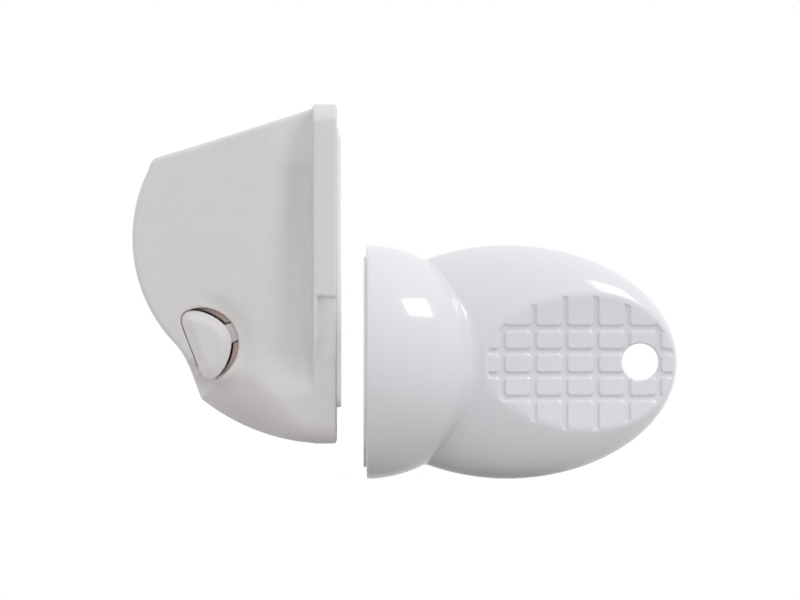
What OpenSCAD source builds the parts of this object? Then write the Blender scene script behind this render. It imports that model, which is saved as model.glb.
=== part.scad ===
// Magnetic safety lock for a cabinet door, with its magnet key.
// The lock sits on the inner face of the door. The key is held against the
// outer face, pulls the lever's magnet and so drops the hook.
// X points from the lock to the key, Z is up, and the door face is at X = 0.

/* [Case] */
// Height of the case at its flange
case_h = 73.6; // [66:0.1:90]
// How far the flange stands out beyond each side of the body
flange_rim = 1.7; // [1.3:0.1:4]
// Thickness of the flange
flange_t = 5.2; // [4.6:0.1:7]
// Corner radius of the flange, seen from the door
flange_corner = 5; // [3:0.5:7]
// Width of the case body between its side faces
body_w = 34; // [33.4:0.1:36]
// Thickness of the case walls
wall = 2.1; // [1.6:0.1:2.4]
// Radius of the rounded edges
edge_r = 1.5; // [0.6:0.1:1.8]
// Radius of the round belly, which is centred on the latch pin
belly_r = 33; // [32:0.1:34]
// Radius of the arc under the case
sole_r = 44; // [42:0.5:48]
// Depth of the soft valley along the flange, below the side face
valley_depth = 2.2; // [1.2:0.1:2.4]
// Radius of the valley's round bottom
valley_r = 12; // [9:0.5:15]

/* [Mounting] */
// Thickness of the adhesive pad
pad_t = 0.9; // [0.6:0.1:1.6]
// Height of the adhesive pad
pad_h = 60.6; // [50:0.1:64]
// Width of the adhesive pad
pad_w = 32; // [26:0.5:34]
// How far the pad's middle lies above the middle of the case
pad_rise = 1.4; // [0:0.1:2]
// Thickness of the mounting plate
plate_t = 3; // [2.6:0.1:3.6]
// Thread radius of the case screws
screw_r = 1.25; // [1:0.05:1.5]
// Length of the case screws under their heads
screw_len = 11; // [8:0.5:12]

/* [Latch] */
// Distance of the latch pin from the door face
pivot_depth = 12.2; // [11.8:0.1:13]
// Height of the latch pin above the middle of the case
pivot_z = 7.8; // [7:0.1:9]
// Radius of the latch pin
pin_r = 1.5; // [1.2:0.05:1.8]
// Angle that the lever turns when the key pulls it
latch_swing = 10; // [6:0.5:10.5]
// Distance from the latch pin to the hook's catching face
hook_reach = 22; // [20:0.1:23]
// Height of the hook's barb above the arm
barb_h = 5.4; // [4.5:0.1:6]
// Width of the hook arm
arm_w = 10; // [8:0.5:11]
// Radius of the lever's magnet
magnet_r = 7; // [6:0.1:7.4]
// Thickness of the lever's magnet
magnet_t = 4; // [3:0.1:4.2]

/* [Release button] */
// Length of the button from its hinge side to its tip
flap_len = 9; // [8.4:0.1:9.4]
// Width of the button along its hinge side
flap_w = 15.6; // [14.4:0.1:16]
// Length of the button's opening
hole_len = 10.5; // [10.4:0.1:11]
// Angle between the button's hinge side and the waist beside it
flap_lean = 4.9; // [2:0.1:7]
// Angle that the button swings inward
flap_swing = 12; // [6:0.5:12]
// Radius of the button's hinge pin
flap_pin_r = 0.75; // [0.6:0.05:0.85]

/* [Key] */
// Distance of the key from the door face
key_gap = 4.9; // [4:0.1:30]
// Radius of the key's round dome and height of its grip
key_r = 25.4; // [24:0.1:28]
// Length of the dome
dome_len = 26.7; // [25:0.1:29]
// Half the length of the grip
grip_half_len = 36.9; // [35.5:0.1:39]
// Distance between the dome's face and the middle of the grip
grip_centre = 30.6; // [29:0.1:32]
// Half the thickness of the grip
grip_half_t = 13; // [12:0.1:15]
// Radius of the hole for hanging the key
hang_r = 4; // [3:0.1:4.6]
// Distance of the hole from the grip's far end
hang_edge = 8; // [7:0.1:9]
// Radius of the key's magnet
key_magnet_r = 13.5; // [10:0.1:14]
// Thickness of the key's magnet
key_magnet_t = 8; // [6:0.1:9]
// Thickness of the soft pad on the key's face
face_pad_t = 0.6; // [0.4:0.1:1]

/* [Thumb rest] */
// Half the length of the thumb rest
scoop_half_len = 20; // [18:0.1:21]
// Slope of the thumb rest toward the grip's end
scoop_tilt = 14.5; // [11:0.1:16]
// Radius of the thumb rest's hollow across the grip
scoop_r = 75; // [65:1:90]
// Half thickness of the grip where the thumb rest starts
scoop_start = 12.8; // [11.5:0.1:12.9]
// Spacing of the grooves along the grip
groove_pitch = 6.7; // [5:0.1:8]
// Spacing of the grooves across the grip
cross_pitch = 5.06; // [4:0.1:6]
// Width of the grooves
groove_w = 1.2; // [0.8:0.1:1.6]
// Depth of the grooves
groove_depth = 0.7; // [0.4:0.1:1]

/* [Hidden] */

shell_white = [0.84, 0.83, 0.84];
key_white = [0.87, 0.87, 0.89];
pad_white = [0.93, 0.92, 0.90];
steel = [0.62, 0.63, 0.65];
magnet_grey = [0.45, 0.46, 0.48];

// Clearances shared by all fits
slip = 0.05;
gap = 0.3;
over = 1;
turn_fn = 64;

// Places of the lock's parts; X is negative on the lock's side
flange_w = body_w + 2 * flange_rim;
pivot = [-pivot_depth, pivot_z];
flange_back = -pad_t;
flange_front = flange_back - flange_t;
plate_front = flange_back - plate_t;
case_foot = -case_h / 2;
brow_share = 0.975;
brow = [flange_front, -case_foot * brow_share];
valley_x = flange_front - edge_r - valley_r * 0.083;
side_y = body_w / 2;
inner_y = side_y - wall;
neck_y = inner_y - valley_depth;
neck_x = flange_front - valley_r * 0.85;

function turned(p, centre, a) =
    centre + [(p - centre)[0] * cos(a) - (p - centre)[1] * sin(a),
              (p - centre)[0] * sin(a) + (p - centre)[1] * cos(a)];
function arc(centre, r, from, to, steps) =
    [for (i = [0:steps]) let (a = from + (to - from) * i / steps) centre + r * [cos(a), sin(a)]];
function blend_point(p, t) = len(p) == 1 ? p[0]
    : blend_point([for (i = [0:len(p) - 2]) p[i] * (1 - t) + p[i + 1] * t], t);
function curve(p, steps) = [for (i = [0:steps]) blend_point(p, i / steps)];
function left_of(d) = [-d[1], d[0]] / norm(d);
function inset_point(a, b, c, d) =
    let (n1 = left_of(b - a), n2 = left_of(c - b), m = n1 + n2) b + m * (2 * d / (m * m));
// Moves a counter-clockwise outline inward by d
function inset(pts, d) = let (n = len(pts))
    [for (i = [0:n - 1]) inset_point(pts[(i + n - 1) % n], pts[i], pts[(i + 1) % n], d)];

// A slab with round edges: the outline lies flat and the slab is centred on it
module rounded_slab(pts, thick, edge, steps = 2) {
    n = len(pts);
    // Each level is a height and how far the outline is drawn in there
    lower = [for (i = [0:steps]) let (a = 90 * i / steps)
                [-thick / 2 + edge * (1 - cos(a)), edge * (1 - sin(a))]];
    levels = concat(lower, [for (i = [steps:-1:0]) [-lower[i][0], lower[i][1]]]);
    rings = [for (l = levels) for (p = inset(pts, l[1])) [p[0], p[1], l[0]]];
    top = (len(levels) - 1) * n;
    sides = [for (k = [0:len(levels) - 2]) for (i = [0:n - 1])
                let (a = k * n + i, b = k * n + (i + 1) % n)
                for (f = [[a, a + n, b], [b, a + n, b + n]]) f];
    ends = [[for (i = [0:n - 1]) i], [for (i = [n - 1:-1:0]) top + i]];
    polyhedron(rings, concat(ends, sides), convexity = 6);
}

// Stands a flat outline in the XZ plane, so that the slab's thickness runs along Y
module upright() {
    rotate([90, 0, 0]) children();
}

// Lays the Z axis along +X
module along_x() {
    rotate([0, 90, 0]) children();
}

function rounded_rect(w, h, r, steps = 6) =
    concat(arc([w / 2 - r, h / 2 - r], r, 0, 90, steps), arc([r - w / 2, h / 2 - r], r, 90, 180, steps),
           arc([r - w / 2, r - h / 2], r, 180, 270, steps), arc([w / 2 - r, r - h / 2], r, 270, 360, steps));

// Side view of the case, counter-clockwise from the flange's foot
sole_centre = [flange_back - sole_r * 0.041, case_foot + sole_r];
heel_angle = 231.2;
waist_angle = 223.5;
nose_angle = 153;
heel = sole_centre + sole_r * [cos(heel_angle), sin(heel_angle)];
waist = pivot + belly_r * [cos(waist_angle), sin(waist_angle)];
nose = pivot + belly_r * [cos(nose_angle), sin(nose_angle)];
shoulder = nose + belly_r * [0.062, 0.078];
// The waist's control points, as shares of the way from the waist to the heel
waist_bend = [waist + belly_r * [0.097, -0.1], heel + belly_r * [-0.058, 0.142]];
slope_mid = (brow + shoulder) / 2 - belly_r * [0.13, 0.049];
slope_line = curve([brow, slope_mid, shoulder], 8);
nose_bend = shoulder - belly_r * [0.05, 0.012];
nose_line = curve([shoulder, nose_bend, nose], 5);
belly_line = arc(pivot, belly_r, nose_angle, waist_angle, 20);
waist_line = curve([waist, waist_bend[0], waist_bend[1], heel], 8);
sole_line = arc(sole_centre, sole_r, heel_angle, 266, 12);
function tail_of(list) = [for (i = [1:len(list) - 1]) list[i]];
body_right = flange_back - edge_r;
rear_line = concat(slope_line, tail_of(nose_line), tail_of(belly_line), [for (i = [1:6]) waist_line[i]]);
foot_line = concat([waist_line[7], heel], tail_of(sole_line));
// The whole outline, closed far enough toward the door for the hollow to reach the plate
case_line = concat([[wall, brow[1]]], rear_line, foot_line, [[wall, foot_line[len(foot_line) - 1][1]]]);

// The skirt is the foot of the case, nearly flush with the flange; the body stands in it
skirt_top = waist_line[6][1];
skirt_lip = 0.15;
skirt_w = flange_w - 2 * skirt_lip;
skirt_line = concat([waist_line[6] - [skirt_lip, 0]], foot_line,
                    [[body_right, case_foot + wall], [body_right, skirt_top]]);
body_line = concat([[body_right, brow[1] - wall]], rear_line,
                   [waist_line[6] + wall * [1, -0.5], [body_right - wall, skirt_top - wall / 2]]);

// Places of the button: u runs from its hinge side to its tip, v along the hinge
waist_way = waist_line[5] - waist_line[1];
flap_tilt = atan2(waist_way[0], -waist_way[1]) - flap_lean;
flap_u = [cos(flap_tilt), sin(flap_tilt)];
flap_v = [sin(flap_tilt), -cos(flap_tilt)];
flap_origin = waist_line[4] + belly_r * (0.0543 * flap_u - 0.1186 * flap_v);
function flap_place(u, v) = flap_origin + u * flap_u + v * flap_v;
// Half outline of a rounded pick: corner, flank and tip, as shares of its length and half width
corner_shares = [[0, 0.64], [0, 0.95], [0.144, 1.038], [0.31, 1]];
flank_shares = [[0.31, 1], [0.55, 0.94], [1, 0.46], [1, 0]];
full_flank_shares = [[0.31, 1], [0.62, 1], [1, 0.57], [1, 0]];
function half_pick(back, length, half, flank) =
    let (span = length - back,
         place = function (s) [back + s[0] * span, s[1] * half])
    concat(curve([for (s = corner_shares) place(s)], 5), tail_of(curve([for (s = flank) place(s)], 10)));
function pick_line(back, length, half, flank) = let (h = half_pick(back, length, half, flank))
    concat([for (p = h) flap_place(p[0], p[1])],
           [for (i = [len(h) - 2:-1:0]) flap_place(h[i][0], -h[i][1])]);

flap_t = 2.1;
flap_proud = 0.2;
flap_top = -side_y - flap_proud;
flap_under = flap_top + flap_t;
knuckle_r = 1.25;
hinge_u = 1.5;
hinge_room = 1.6;
hinge_y = -inner_y + hinge_room;
barrel_half = flap_w * 0.24;
lug_w = 2;
lug_from = barrel_half + gap * 0.6;
lug_back = 2.4;
lug_depth = 3;
tongue_half = 2.1;
tongue_reach = 0.8;
tongue_len = hole_len + tongue_reach;
tongue_t = 1.2;
tongue_from = flap_len - tongue_t * 1.4;
tongue_gap = 0.25;
peg_u = 6.3;
peg_r = 1;
ridge_h = 1.3;

// Places of the lever and its magnet
hub_r = 4.2;
ear_t = 2.2;
// Room between an ear and the neck of the hollow, for the pin's head and its clip
side_room = 1.9;
ear_in = neck_y - side_room - ear_t;
hub_from = -ear_in + gap;
hub_to = ear_in * 0.28;
magnet_drop = 26.9;
magnet_z = pivot_z - magnet_drop;
magnet_shift = 0.1;
magnet_back = pivot[0] - magnet_t / 2 + magnet_shift;
cup_wall = 1.3;
cup_r = magnet_r + cup_wall;
cap_t = 0.8;
cup_back = magnet_back - cup_wall;
cup_front = magnet_back + magnet_t + slip;
arm_t = 3.8;
tail_root = 3;

// The pressed button's peg tip, and the ridge that it holds, half a swing back
peg_tip_y = -(ear_in + ridge_h + gap);
peg_len = peg_tip_y - flap_under;
peg_out = peg_u - hinge_u;
peg_pressed_u = hinge_u + peg_out * cos(flap_swing) - (peg_tip_y - hinge_y) * sin(flap_swing);
ridge_mid = turned(flap_place(peg_pressed_u, 0), pivot, -latch_swing / 2);

// The key's frame: its axis, face and grip
key_z = magnet_z;
face_x = key_gap + face_pad_t;
grip_x = face_x + grip_centre;
key_end = grip_x + grip_half_len;
hang_x = key_end - hang_edge;

module side_pair() {
    for (side = [0, 1]) mirror([0, side, 0]) children();
}

// A round valley down along the flange, and one that fades out along the skirt
valley_fade = 4;
valley_low = skirt_top + valley_r * 0.28;

module valley() {
    translate([valley_x, side_y - valley_depth + valley_r, 0])
        cylinder(r = valley_r, h = case_h + over, center = true, $fn = turn_fn);
    translate([body_right, side_y - valley_depth + valley_r - valley_r * sin(valley_fade) / 2, valley_low])
        rotate([0, -90, -valley_fade]) cylinder(r = valley_r, h = belly_r * 1.3, $fn = turn_fn);
}

module case_form() {
    difference() {
        upright() rounded_slab(body_line, body_w, edge_r);
        side_pair() valley();
    }
    upright() rounded_slab(skirt_line, skirt_w, edge_r);
    translate([(flange_back + flange_front) / 2, 0, 0])
        along_x() rounded_slab(rounded_rect(case_h, flange_w, flange_corner), flange_t, edge_r);
}

module case_hollow() {
    inner = inset(case_line, wall);
    // The wide part of the hollow keeps clear of the valleys
    upright() linear_extrude(inner_y * 2, center = true) intersection() {
        polygon(inner);
        polygon([[neck_x, case_h], [-case_h, case_h], [-case_h, valley_low - valley_r * 0.1],
                 [neck_x - valley_r, valley_low - valley_r * 0.1],
                 [neck_x - valley_r * 0.62, valley_low + valley_r * 0.09],
                 [neck_x, valley_low + valley_r * 1.15]]);
    }
    upright() linear_extrude(neck_y * 2, center = true) polygon(inner);
    translate([plate_front, 0, 0]) along_x()
        linear_extrude(plate_t + over) polygon(rounded_rect(plate_h + gap, plate_w + gap, plate_corner));
}

plate_rim = 2.2;
plate_h = case_h - 2 * plate_rim;
plate_w = flange_w - 2 * plate_rim;
plate_corner = flange_corner - plate_rim;

boss_r = 2.9;
boss_in = 1;
boss_y = neck_y - boss_in;
boss_drop = 9.4;
boss_z = case_h / 2 - boss_drop;
boss_over = 8;
boss_len = flange_t + boss_over;
pilot_r = screw_r + slip;
head_r = screw_r * 1.9;
head_t = screw_r * 1.1;

module at_screws() {
    for (y = [-boss_y, boss_y], z = [-boss_z, boss_z])
        translate([plate_front, y, z]) rotate([0, -90, 0]) children();
}

// The mouth where the strike enters, in the belly's wall
mouth_half = inner_y * 0.57;
mouth_below = 2.6;
mouth_above = 13.8;
mouth_low = pivot_z - mouth_below;
mouth_high = pivot_z + mouth_above;

module mouth() {
    translate([pivot[0] - belly_r - over, -mouth_half, mouth_low])
        cube([belly_r * 0.42, mouth_half * 2, mouth_high - mouth_low]);
}

stop_t = 2.4;
stop_half = 1.5;

module stop_rib() {
    start = waist[0];
    translate([start, -stop_half, magnet_z - stop_t / 2])
        cube([cup_back - gap - start, stop_half * 2, stop_t]);
}

// Puts children in the button's frame: X along u, Y along v, Z out through the side wall
module at_flap() {
    translate([flap_origin[0], 0, flap_origin[1]])
        rotate([0, -flap_tilt, 0]) rotate([90, 0, 0]) children();
}

module hinge_lugs() {
    for (side = [-1, 1])
        at_flap() translate([-lug_back, side > 0 ? lug_from : -lug_from - lug_w, inner_y - lug_depth])
            cube([lug_back + hinge_u + knuckle_r, lug_w, lug_depth - gap]);
}

module lock_housing() color(shell_white) {
    difference() {
        union() {
            difference() {
                case_form();
                case_hollow();
                mouth();
                upright() translate([0, 0, inner_y - over])
                    linear_extrude(wall + over * 3)
                        polygon(pick_line(-flap_proud, hole_len, flap_w / 2 + flap_proud, full_flank_shares));
            }
            at_screws() cylinder(r = boss_r, h = boss_len, $fn = turn_fn);
            intersection() {
                union() {
                    stop_rib();
                    hinge_lugs();
                }
                upright() linear_extrude(body_w - wall, center = true) polygon(inset(case_line, wall / 2));
            }
        }
        at_screws() translate([0, 0, -over]) cylinder(r = pilot_r, h = screw_len + over, $fn = turn_fn);
        at_flap() translate([hinge_u, 0, -hinge_y]) rotate([90, 0, 0])
            cylinder(r = flap_pin_r + slip, h = (lug_from + lug_w + over) * 2, center = true, $fn = turn_fn);
    }
}

pocket_room = 1.2;
pocket_r = cup_r + pocket_room;
pocket_depth = plate_t * 0.56;

module mounting_plate() color(shell_white) {
    difference() {
        union() {
            translate([plate_front, 0, 0]) along_x()
                linear_extrude(plate_t) polygon(rounded_rect(plate_h, plate_w, plate_corner));
            for (y = [-ear_in - ear_t, ear_in]) translate([0, y, 0]) {
                translate([pivot[0], 0, pivot_z]) rotate([-90, 0, 0])
                    cylinder(r = hub_r, h = ear_t, $fn = turn_fn);
                translate([pivot[0], 0, pivot_z - hub_r])
                    cube([plate_front - pivot[0] + plate_t / 2, ear_t, hub_r * 2]);
            }
        }
        translate([pivot[0], 0, pivot_z]) rotate([90, 0, 0])
            cylinder(r = pin_r + slip / 2, h = body_w, center = true, $fn = turn_fn);
        translate([plate_front - over, 0, magnet_z]) along_x()
            cylinder(r = pocket_r, h = pocket_depth + over, $fn = turn_fn);
        at_screws() {
            translate([0, 0, -plate_t - over]) {
                cylinder(r = screw_r + gap, h = plate_t + over * 2, $fn = turn_fn);
                cylinder(r = head_r + gap, h = head_t + over, $fn = turn_fn);
            }
        }
    }
}

module adhesive_pad() color(pad_white) {
    translate([flange_back, 0, pad_rise]) along_x()
        linear_extrude(pad_t) polygon(rounded_rect(pad_h, pad_w, plate_corner));
}

module case_screws() color(steel) {
    at_screws() {
        translate([0, 0, -plate_t + head_t])
            cylinder(r = screw_r, h = screw_len + plate_t - head_t - over, $fn = turn_fn);
        translate([0, 0, -plate_t]) cylinder(r = head_r, h = head_t, $fn = turn_fn);
    }
}

head_w = 1;
pin_reach = ear_in + ear_t;

module pivot_pin() color(steel) {
    translate([pivot[0], 0, pivot_z]) rotate([-90, 0, 0]) {
        translate([0, 0, -pin_reach]) cylinder(r = pin_r, h = pin_reach * 2 + head_w - slip, $fn = turn_fn);
        translate([0, 0, -pin_reach - head_w]) cylinder(r = pin_r * 1.6, h = head_w, $fn = turn_fn);
    }
}

module pin_clip() color(steel) {
    translate([pivot[0], pin_reach, pivot_z]) rotate([-90, 0, 0])
        difference() {
            cylinder(r = pin_r * 2, h = head_w * 0.6, $fn = turn_fn);
            translate([0, 0, -over]) cylinder(r = pin_r + slip / 2, h = head_w + over * 2, $fn = turn_fn);
        }
}

spring_wire = 0.35;
spring_coil = 3.2;
spring_turns = 3.75;
// Part of a turn that the spring's ends leave free
spring_spare = 0.3;
spring_pitch = (ear_in - hub_to - 2 * gap - 2 * spring_wire) / (spring_turns + spring_spare);

// The hook arm: a straight arm with a ramped barb at its end
arm_above = 2.2;
arm_below = 1.9;
arm_top = pivot_z + arm_above;
arm_low = pivot_z - arm_below;
root_flare = 1;
catch_x = pivot[0] - hook_reach;
barb_top = arm_top + barb_h;
hook_line = [[pivot[0], arm_low - root_flare], [pivot[0], arm_top + root_flare],
             [catch_x + arm_t * 2.2, arm_top], [catch_x + gap, arm_top], [catch_x, barb_top],
             [catch_x - arm_t * 0.3, barb_top + gap], [catch_x - arm_t * 0.6, barb_top],
             [catch_x - arm_t * 1.35, arm_top], [catch_x - arm_t * 1.4, arm_low + arm_t * 0.4],
             [catch_x - arm_t * 1.1, arm_low]];

magnet_arm_right = pivot[0] + arm_t * 0.74;
magnet_arm_low = magnet_z + magnet_r;
ridge_t = 2.2;
ridge_w = 5;
along_path = left_of(ridge_mid - pivot);
across_path = (ridge_mid - pivot) / norm(ridge_mid - pivot);
function ridge_place(s, r) = ridge_mid + s * along_path + r * across_path;

module lever_body() {
    translate([pivot[0], 0, pivot_z]) rotate([-90, 0, 0]) translate([0, 0, hub_from])
        cylinder(r = hub_r, h = hub_to - hub_from, $fn = turn_fn);
    upright() linear_extrude(arm_w, center = true) polygon(hook_line);
    translate([magnet_arm_right - arm_t, -arm_w / 2, magnet_arm_low - arm_t])
        cube([arm_t, arm_w, pivot_z - magnet_arm_low + arm_t]);
    translate([cup_back, 0, magnet_z]) along_x()
        cylinder(r = cup_r, h = cup_front - cup_back, $fn = turn_fn);
    upright() {
        translate([0, 0, arm_w / 2 - tail_root])
            linear_extrude(ear_in - arm_w / 2 + tail_root)
                polygon([[magnet_arm_right, pivot_z - hub_r * 3.4],
                         [magnet_arm_right - arm_t, pivot_z - hub_r * 3.2],
                         ridge_place(-ridge_t / 2 - gap, -ridge_w / 2),
                         ridge_place(-ridge_t / 2 - gap, ridge_w / 2),
                         ridge_place(ridge_t * 2, ridge_w / 2),
                         [magnet_arm_right - arm_t, pivot_z - hub_r * 4.3],
                         [magnet_arm_right, pivot_z - hub_r * 4.3]]);
        translate([0, 0, ear_in - over])
            linear_extrude(ridge_h + over)
                polygon([ridge_place(-ridge_t / 2, -ridge_w / 2), ridge_place(-ridge_t / 2, ridge_w / 2),
                         ridge_place(ridge_t / 2, ridge_w / 2), ridge_place(ridge_t / 2, -ridge_w / 2)]);
    }
}

module latch_lever() color(shell_white) {
    difference() {
        lever_body();
        translate([pivot[0], 0, pivot_z]) rotate([90, 0, 0])
            cylinder(r = pin_r + slip, h = body_w, center = true, $fn = turn_fn);
        translate([magnet_back, 0, magnet_z]) along_x()
            cylinder(r = magnet_r + slip, h = magnet_t + over * 4, $fn = turn_fn);
        translate([cup_front, 0, magnet_z]) along_x() cylinder(r = cup_r - gap / 2, h = arm_t, $fn = turn_fn);
        // Room for the spring's coil beside the hub
        translate([pivot[0], hub_to, pivot_z]) rotate([-90, 0, 0])
            cylinder(r = spring_coil + spring_wire + gap, h = body_w, $fn = turn_fn);
    }
}

module lever_magnet() color(magnet_grey) {
    translate([magnet_back, 0, magnet_z]) along_x() cylinder(r = magnet_r, h = magnet_t, $fn = turn_fn);
}

module magnet_cap() color(shell_white) {
    translate([cup_front, 0, magnet_z]) along_x() cylinder(r = cup_r - gap, h = cap_t, $fn = turn_fn);
}

// A torsion spring as one unbroken tube: leg, turns round the Z axis, leg
module torsion_spring(coil_r, wire_r, turns, pitch, leg_a, leg_b, steps = 16, sides = 6) {
    total = turns * steps;
    coil = [for (i = [0:total]) let (a = 360 * i / steps)
               [coil_r * cos(a), coil_r * sin(a), pitch * i / steps]];
    first = coil[0];
    last = coil[total];
    end_way = [-sin(360 * turns), cos(360 * turns), 0];
    path = concat([first + [0, -leg_a, 0], first + [0, -leg_a / 2, 0]], coil,
                  [last + leg_b / 2 * end_way, last + leg_b * end_way]);
    n = len(path);
    dir = [for (i = [0:n - 1]) let (d = path[min(i + 1, n - 1)] - path[max(i - 1, 0)]) d / norm(d)];
    pts = [for (i = [0:n - 1])
              let (side = cross(dir[i], [0, 0, 1]) / norm(cross(dir[i], [0, 0, 1])), up = cross(side, dir[i]))
              for (k = [0:sides - 1])
                  let (a = 360 * k / sides) path[i] + wire_r * (cos(a) * side + sin(a) * up)];
    skin = [for (i = [0:n - 2]) for (k = [0:sides - 1])
               let (a = i * sides + k, b = i * sides + (k + 1) % sides)
               for (f = [[a, b, a + sides], [b, b + sides, a + sides]]) f];
    ends = [[for (k = [sides - 1:-1:0]) k], [for (k = [0:sides - 1]) (n - 1) * sides + k]];
    polyhedron(pts, concat(ends, skin), convexity = 8);
}

// One leg lies along the magnet's arm, the other reaches toward the plate and meets it at full swing
spring_room = plate_front - gap / 2 - pivot[0] - (spring_coil + spring_wire) * sin(latch_swing);

module lever_spring() color(steel) {
    translate([pivot[0], hub_to + gap / 2 + spring_wire, pivot_z]) rotate([-90, 0, 0]) mirror([0, 1, 0])
        torsion_spring(spring_coil, spring_wire, spring_turns, spring_pitch, spring_coil * 3.2,
                       spring_room / cos(latch_swing));
}

module release_button() color(shell_white) {
    difference() {
        union() {
            upright() translate([0, 0, (side_y + flap_proud) - flap_t / 2])
                rounded_slab(pick_line(0, flap_len, flap_w / 2, flank_shares), flap_t, flap_t * 0.3);
            at_flap() {
                translate([hinge_u, -barrel_half * 0.3, -hinge_y]) rotate([-90, 0, 0])
                    cylinder(r = knuckle_r, h = barrel_half * 1.3, $fn = turn_fn);
                translate([hinge_u - knuckle_r / 2, -barrel_half * 0.3, -hinge_y])
                    cube([knuckle_r, barrel_half * 1.3, hinge_y - flap_under + flap_t / 2]);
                translate([peg_u, 0, -peg_tip_y])
                    cylinder(r = peg_r, h = peg_len + flap_t / 2, $fn = turn_fn);
                translate([tongue_from, -tongue_half, inner_y - tongue_gap - tongue_t]) {
                    cube([tongue_len - tongue_from, tongue_half * 2, tongue_t]);
                    cube([tongue_t, tongue_half * 2, tongue_t + tongue_gap + wall / 2]);
                }
            }
        }
        at_flap() translate([hinge_u, 0, -hinge_y]) rotate([90, 0, 0])
            cylinder(r = flap_pin_r + slip, h = flap_w, center = true, $fn = turn_fn);
    }
}

module button_pin() color(steel) {
    at_flap() translate([hinge_u, 0, -hinge_y]) rotate([90, 0, 0])
        cylinder(r = flap_pin_r, h = (lug_from + lug_w) * 2, center = true, $fn = turn_fn);
}

flap_wire = 0.15;
flap_coil = flap_pin_r + slip * 2 + flap_wire;
flap_turns = 3;
flap_pitch = barrel_half * 0.17;

module button_spring() color(steel) {
    at_flap() translate([hinge_u, -barrel_half * 0.3 - gap - flap_wire, -hinge_y]) rotate([90, 0, 0])
        torsion_spring(flap_coil, flap_wire, flap_turns, flap_pitch, flap_pin_r * 2.4,
                       hinge_y - flap_under - flap_wire - gap / 2);
}

// Shape of the key: a round dome that runs into an egg-shaped grip
dome_steps = 14;
grip_steps = 30;
grip_sides = 44;

// An egg-shaped solid about the X axis, with rings that crowd toward its ends
module egg(half_len, half_h, half_t, steps, sides) {
    pts = concat([[-half_len, 0, 0]],
                 [for (i = [1:steps - 1]) let (t = 180 * i / steps)
                     for (k = [0:sides - 1]) let (a = 360 * k / sides)
                     [-half_len * cos(t), half_t * sin(t) * cos(a), half_h * sin(t) * sin(a)]],
                 [[half_len, 0, 0]]);
    last = len(pts) - 1;
    caps = [for (k = [0:sides - 1]) let (m = (k + 1) % sides)
               for (f = [[0, 1 + k, 1 + m], [last, last - sides + m, last - sides + k]]) f];
    skin = [for (i = [0:steps - 3]) for (k = [0:sides - 1])
               let (a = 1 + i * sides + k, b = 1 + i * sides + (k + 1) % sides)
               for (f = [[a, a + sides, b], [b, a + sides, b + sides]]) f];
    polyhedron(pts, concat(caps, skin), convexity = 4);
}

module dome() {
    arch = [for (i = [0:dome_steps]) let (a = 90 * i / dome_steps) [key_r * cos(a), dome_len * sin(a)]];
    profile = concat([[0, 0]], arch);
    translate([face_x, 0, key_z]) along_x() rotate_extrude($fn = turn_fn) polygon(profile);
}

module grip() {
    translate([grip_x, 0, key_z]) intersection() {
        egg(grip_half_len, key_r, grip_half_t, grip_steps, grip_sides);
        translate([-grip_centre, -key_r, -key_r]) cube([grip_centre + key_end, key_r * 2, key_r * 2]);
    }
}

scoop_x = grip_x - grip_half_len * 0.117;
scoop_mid = scoop_x + scoop_half_len;

// The long cylinder that hollows the thumb rest on the front side
module scoop_roller(extra) {
    translate([scoop_x, -scoop_start, key_z]) rotate([0, 0, scoop_tilt]) translate([0, -scoop_r, 0])
        along_x() cylinder(r = scoop_r + extra, h = grip_half_len * 2, $fn = 4 * turn_fn);
}

module scoop_bounds(share) {
    translate([scoop_mid, 0, key_z]) rotate([90, 0, 0])
        linear_extrude(key_r) scale([1, 0.755]) circle(r = scoop_half_len * share, $fn = turn_fn);
}

module scoop() {
    scoop_roller(0);
    intersection() {
        scoop_roller(groove_depth);
        scoop_bounds(0.985);
        union() {
            for (i = [-3:2])
                translate([scoop_mid + (i + 0.5) * groove_pitch - groove_w / 2, -key_r, key_z - key_r])
                    cube([groove_w, key_r * 2, key_r * 2]);
            for (i = [-2:1])
                translate([scoop_mid - key_r, -key_r, key_z + (i + 0.5) * cross_pitch - groove_w / 2])
                    cube([key_r * 2, key_r * 2, groove_w]);
        }
    }
}

cup_wall_t = 1.8;
sleeve_t = 1.2;
pole_r = key_magnet_r + sleeve_t + slip * 2;
cup_out = pole_r + cup_wall_t;
cap_rim = 3.2;
cap_r = cup_out + cap_rim;
face_cap_t = 1.5;
magnet_face = face_x + face_cap_t;
cup_len = key_magnet_t + cup_wall_t;
grip_hollow_half = 4.6;
dowel_r = 1.8;
dowel_len = 5;

module key_hollow() {
    translate([face_x - over, 0, key_z]) along_x() {
        cylinder(r = cap_r + slip, h = face_cap_t + over, $fn = turn_fn);
        cylinder(r = cup_out + slip, h = face_cap_t + cup_len + over + slip, $fn = turn_fn);
    }
    translate([grip_x - grip_half_len * 0.2, 0, key_z]) rotate([90, 0, 0])
        linear_extrude(grip_hollow_half * 2, center = true)
            scale([0.62, 1]) circle(r = key_r * 0.6, $fn = turn_fn);
}

// Places of the dowels that join the two shells: X, and height as a share of the key's radius
dowel_x = grip_x + grip_half_len * 0.16;
dowel_spots = [[face_x + face_cap_t + cup_len + dowel_r * 1.6, 0], [dowel_x, 0.6], [dowel_x, -0.6]];

module at_dowels() {
    for (spot = dowel_spots) translate([spot[0], 0, key_z + spot[1] * key_r]) rotate([-90, 0, 0]) children();
}

module front_half() {
    difference() {
        union() {
            dome();
            grip();
        }
        key_hollow();
        scoop();
        translate([hang_x, 0, key_z]) rotate([90, 0, 0])
            cylinder(r = hang_r, h = key_r * 2, center = true, $fn = turn_fn);
        translate([-key_r, 0, key_z - key_r * 2]) cube([key_end * 2, key_r * 2, key_r * 4]);
    }
}

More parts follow.
